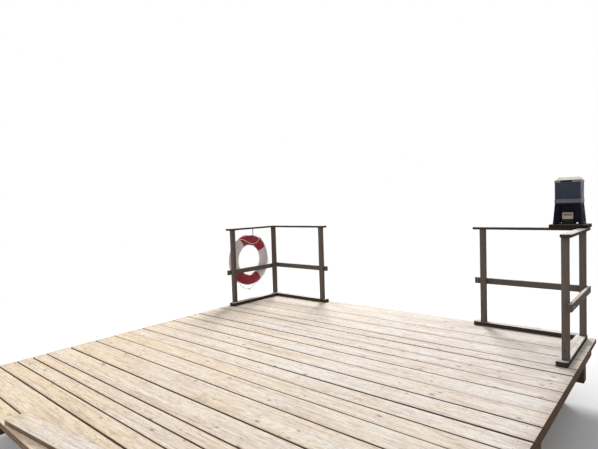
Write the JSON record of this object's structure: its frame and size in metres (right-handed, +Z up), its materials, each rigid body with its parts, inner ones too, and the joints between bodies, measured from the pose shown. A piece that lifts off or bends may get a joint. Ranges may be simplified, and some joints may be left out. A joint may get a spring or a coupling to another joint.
{
  "type": "wooden jetty",
  "caption": "Square wooden bathing jetty on piles: board deck, corner railings with sills on both sides of a way into the water, lifebuoy with grab line and fish feeder on a shelf.",
  "frame": {"origin": "centre of the middle pile's foot, under the middle of the deck", "axes": "+X along the deck boards to the right, +Y from the shore towards the water, +Z up"},
  "size_m": [4.3418, 4.2125, 2.12],
  "materials": {
    "deck_wood": "weathered bleached larch, sawn, with dark grain and knots",
    "frame_wood": "dark damp softwood",
    "rail_wood": "weathered grey-brown planed softwood",
    "ring_red": "faded red plastic skin",
    "ring_white": "off-white plastic skin",
    "ring_band": "off-white plastic band",
    "rope": "cream laid rope",
    "steel": "galvanised flat steel",
    "black_plastic": "black moulded plastic",
    "brown_plastic": "dark brown plastic",
    "label_plate": "plain cream plate",
    "grey_plastic": "dark grey translucent plastic",
    "cream_plastic": "cream plastic"
  },
  "bodies": {
    "root": {"bearer_middle": "frame_wood", "bearer_shore": "frame_wood", "bearer_water": "frame_wood", "deck_boards_1": "deck_wood", "deck_boards_2": "deck_wood", "deck_boards_3": "deck_wood", "deck_boards_4": "deck_wood", "deck_boards_5": "deck_wood", "deck_boards_6": "deck_wood", "deck_boards_7": "deck_wood", "feeder_base": "black_plastic", "feeder_hopper": "grey_plastic", "feeder_lid": "cream_plastic", "feeder_outlet": "brown_plastic", "feeder_plate": "label_plate", "feeder_shelf": "rail_wood", "grab_line": "rope", "joist_1": "frame_wood", "joist_2": "frame_wood", "joist_3": "frame_wood", "joist_4": "frame_wood", "joist_5": "frame_wood", "left_corner_post": "rail_wood", "left_side_handrail": "rail_wood", "left_side_mid_rail": "rail_wood", "left_side_post": "rail_wood", "left_side_sill": "rail_wood", "left_water_handrail": "rail_wood", "left_water_mid_rail": "rail_wood", "left_water_post": "rail_wood", "left_water_sill": "rail_wood", "lifebuoy_bands": "ring_band", "lifebuoy_hook": "steel", "lifebuoy_red": "ring_red", "lifebuoy_white": "ring_white", "piles_middle": "frame_wood", "piles_shore": "frame_wood", "piles_water": "frame_wood", "right_corner_post": "rail_wood", "right_side_handrail": "rail_wood", "right_side_mid_rail": "rail_wood", "right_side_post": "rail_wood", "right_side_sill": "rail_wood", "right_water_handrail": "rail_wood", "right_water_mid_rail": "rail_wood", "right_water_post": "rail_wood", "right_water_sill": "rail_wood", "threshold": "deck_wood"}
  },
  "joints": []
}
